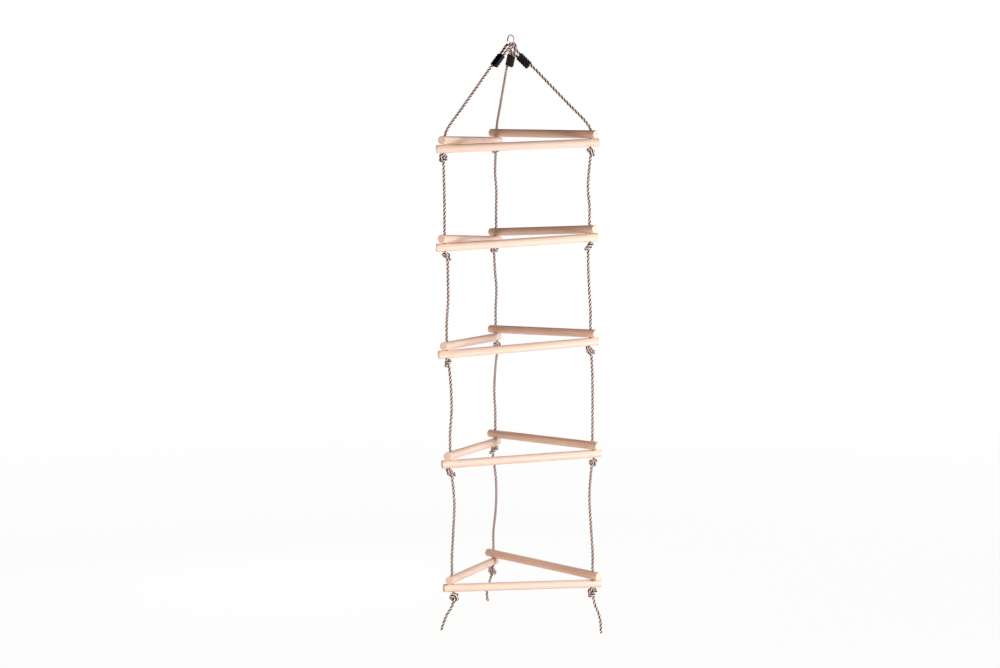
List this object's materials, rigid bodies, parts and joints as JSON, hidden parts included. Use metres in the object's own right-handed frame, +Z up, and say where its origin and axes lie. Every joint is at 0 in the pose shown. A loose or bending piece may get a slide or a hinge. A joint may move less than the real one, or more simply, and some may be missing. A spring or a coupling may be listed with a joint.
{
  "type": "three-sided rope ladder",
  "caption": "Hanging rope ladder with three laid ropes on one steel ring and triangles of drilled wooden rungs resting on overhand knots.",
  "frame": {"origin": "the inside top of the steel ring, where a hook carries the ladder", "axes": "+Z up, -Y the front, which the lowest rung of each triangle faces, +X to the right seen from the front"},
  "size_m": [0.5736, 0.5536, 2.0729],
  "materials": {
    "steel_ring": "galvanised and polished round steel wire",
    "rope": "three-strand laid rope, matt",
    "clamp_plastic": "moulded, satin, ribbed",
    "screw_steel": "zinc plated",
    "rung_wood": "sanded, satin clear oil"
  },
  "bodies": {
    "ring": {"hanging_ring": "steel_ring"},
    "rope_eyes": {"left_eye": "rope", "right_eye": "rope", "back_eye": "rope"},
    "clamps": {"left_clamp_front": "clamp_plastic", "left_clamp_back": "clamp_plastic", "left_clamp_screw_1": "screw_steel", "left_clamp_screw_2": "screw_steel", "right_clamp_front": "clamp_plastic", "right_clamp_back": "clamp_plastic", "right_clamp_screw_1": "screw_steel", "right_clamp_screw_2": "screw_steel", "back_clamp_front": "clamp_plastic", "back_clamp_back": "clamp_plastic", "back_clamp_screw_1": "screw_steel", "back_clamp_screw_2": "screw_steel"},
    "level_1": {"left_rope_1": "rope", "right_rope_1": "rope", "back_rope_1": "rope", "front_rung_1": "rung_wood", "left_rung_1": "rung_wood", "right_rung_1": "rung_wood"},
    "level_2_ropes": {"left_rope_2": "rope", "right_rope_2": "rope", "back_rope_2": "rope"},
    "level_2_front_rung": {"front_rung_2": "rung_wood"},
    "level_2_left_rung": {"left_rung_2": "rung_wood"},
    "level_2_right_rung": {"right_rung_2": "rung_wood"},
    "level_3_ropes": {"left_rope_3": "rope", "right_rope_3": "rope", "back_rope_3": "rope"},
    "level_3_front_rung": {"front_rung_3": "rung_wood"},
    "level_3_left_rung": {"left_rung_3": "rung_wood"},
    "level_3_right_rung": {"right_rung_3": "rung_wood"},
    "level_4_ropes": {"left_rope_4": "rope", "right_rope_4": "rope", "back_rope_4": "rope"},
    "level_4_front_rung": {"front_rung_4": "rung_wood"},
    "level_4_left_rung": {"left_rung_4": "rung_wood"},
    "level_4_right_rung": {"right_rung_4": "rung_wood"},
    "level_5_ropes": {"left_rope_5": "rope", "right_rope_5": "rope", "back_rope_5": "rope"},
    "level_5_front_rung": {"front_rung_5": "rung_wood"},
    "level_5_left_rung": {"left_rung_5": "rung_wood"},
    "level_5_right_rung": {"right_rung_5": "rung_wood"},
    "left_tail": {"left_tail": "rope"},
    "right_tail": {"right_tail": "rope"},
    "back_tail": {"back_tail": "rope"}
  },
  "joints": [
    {"name": "eyes_slip_on_ring", "type": "hinge", "parent": "ring", "child": "rope_eyes", "pos_m": [0, 0, -0.019], "axis": [0.866, -0.5, 0], "range_deg": [-20, 20]},
    {"name": "ladder_swing", "type": "hinge", "parent": "rope_eyes", "child": "clamps", "pos_m": [0, 0, -0.037], "axis": [0.5, 0.866, 0], "range_deg": [-25, 25], "deforming": ["left_eye", "right_eye", "back_eye"]},
    {"name": "ladder_swivel", "type": "hinge", "parent": "clamps", "child": "level_1", "pos_m": [0, 0, -0.3], "axis": [0, 0, 1], "range_deg": [-30, 30], "stiffness_Nm_per_rad": 3, "deforming": ["left_rope_1", "right_rope_1", "back_rope_1"]},
    {"name": "level_2_twist", "type": "hinge", "parent": "level_1", "child": "level_2_ropes", "pos_m": [-0.002, 0, -0.706], "axis": [0, 0, 1], "range_deg": [-12, 12], "stiffness_Nm_per_rad": 7, "deforming": ["left_rope_2", "right_rope_2", "back_rope_2"]},
    {"name": "level_2_front_rung_lift", "type": "slide", "parent": "level_2_ropes", "child": "level_2_front_rung", "axis": [0, 0, 1], "range_m": [0, 0.02]},
    {"name": "level_2_left_rung_lift", "type": "slide", "parent": "level_2_front_rung", "child": "level_2_left_rung", "axis": [0, 0, 1], "range_m": [0, 0.02]},
    {"name": "level_2_right_rung_lift", "type": "slide", "parent": "level_2_left_rung", "child": "level_2_right_rung", "axis": [0, 0, 1], "range_m": [0, 0.02]},
    {"name": "level_3_twist", "type": "hinge", "parent": "level_2_ropes", "child": "level_3_ropes", "pos_m": [-0.0015, 0.0015, -1.063], "axis": [0, 0, 1], "range_deg": [-12, 12], "stiffness_Nm_per_rad": 5, "deforming": ["left_rope_3", "right_rope_3", "back_rope_3"]},
    {"name": "level_3_front_rung_lift", "type": "slide", "parent": "level_3_ropes", "child": "level_3_front_rung", "axis": [0, 0, 1], "range_m": [0, 0.02]},
    {"name": "level_3_left_rung_lift", "type": "slide", "parent": "level_3_front_rung", "child": "level_3_left_rung", "axis": [0, 0, 1], "range_m": [0, 0.02]},
    {"name": "level_3_right_rung_lift", "type": "slide", "parent": "level_3_left_rung", "child": "level_3_right_rung", "axis": [0, 0, 1], "range_m": [0, 0.02]},
    {"name": "level_4_twist", "type": "hinge", "parent": "level_3_ropes", "child": "level_4_ropes", "pos_m": [0.003, 0.001, -1.444], "axis": [0, 0, 1], "range_deg": [-12, 12], "stiffness_Nm_per_rad": 3, "deforming": ["left_rope_4", "right_rope_4", "back_rope_4"]},
    {"name": "level_4_front_rung_lift", "type": "slide", "parent": "level_4_ropes", "child": "level_4_front_rung", "axis": [0, 0, 1], "range_m": [0, 0.02]},
    {"name": "level_4_left_rung_lift", "type": "slide", "parent": "level_4_front_rung", "child": "level_4_left_rung", "axis": [0, 0, 1], "range_m": [0, 0.02]},
    {"name": "level_4_right_rung_lift", "type": "slide", "parent": "level_4_left_rung", "child": "level_4_right_rung", "axis": [0, 0, 1], "range_m": [0, 0.02]},
    {"name": "level_5_twist", "type": "hinge", "parent": "level_4_ropes", "child": "level_5_ropes", "pos_m": [0.006, -0.002, -1.885], "axis": [0, 0, 1], "range_deg": [-12, 12], "stiffness_Nm_per_rad": 1.5, "deforming": ["left_rope_5", "right_rope_5", "back_rope_5"]},
    {"name": "level_5_front_rung_lift", "type": "slide", "parent": "level_5_ropes", "child": "level_5_front_rung", "axis": [0, 0, 1], "range_m": [0, 0.02]},
    {"name": "level_5_left_rung_lift", "type": "slide", "parent": "level_5_front_rung", "child": "level_5_left_rung", "axis": [0, 0, 1], "range_m": [0, 0.02]},
    {"name": "level_5_right_rung_lift", "type": "slide", "parent": "level_5_left_rung", "child": "level_5_right_rung", "axis": [0, 0, 1], "range_m": [0, 0.02]},
    {"name": "left_tail_swing", "type": "hinge", "parent": "level_5_ropes", "child": "left_tail", "pos_m": [-0.2, -0.203, -1.928], "axis": [0.4, -0.9165, 0], "range_deg": [-25, 25], "deforming": ["left_tail"]},
    {"name": "right_tail_swing", "type": "hinge", "parent": "level_5_ropes", "child": "right_tail", "pos_m": [0.2886, -0.085, -1.938], "axis": [0.2, 0.9798, 0], "range_deg": [-25, 25], "deforming": ["right_tail"]},
    {"name": "back_tail_swing", "type": "hinge", "parent": "level_5_ropes", "child": "back_tail", "pos_m": [-0.0698, 0.28, -1.932], "axis": [-0.4, -0.9165, 0], "range_deg": [-25, 25], "deforming": ["back_tail"]}
  ]
}
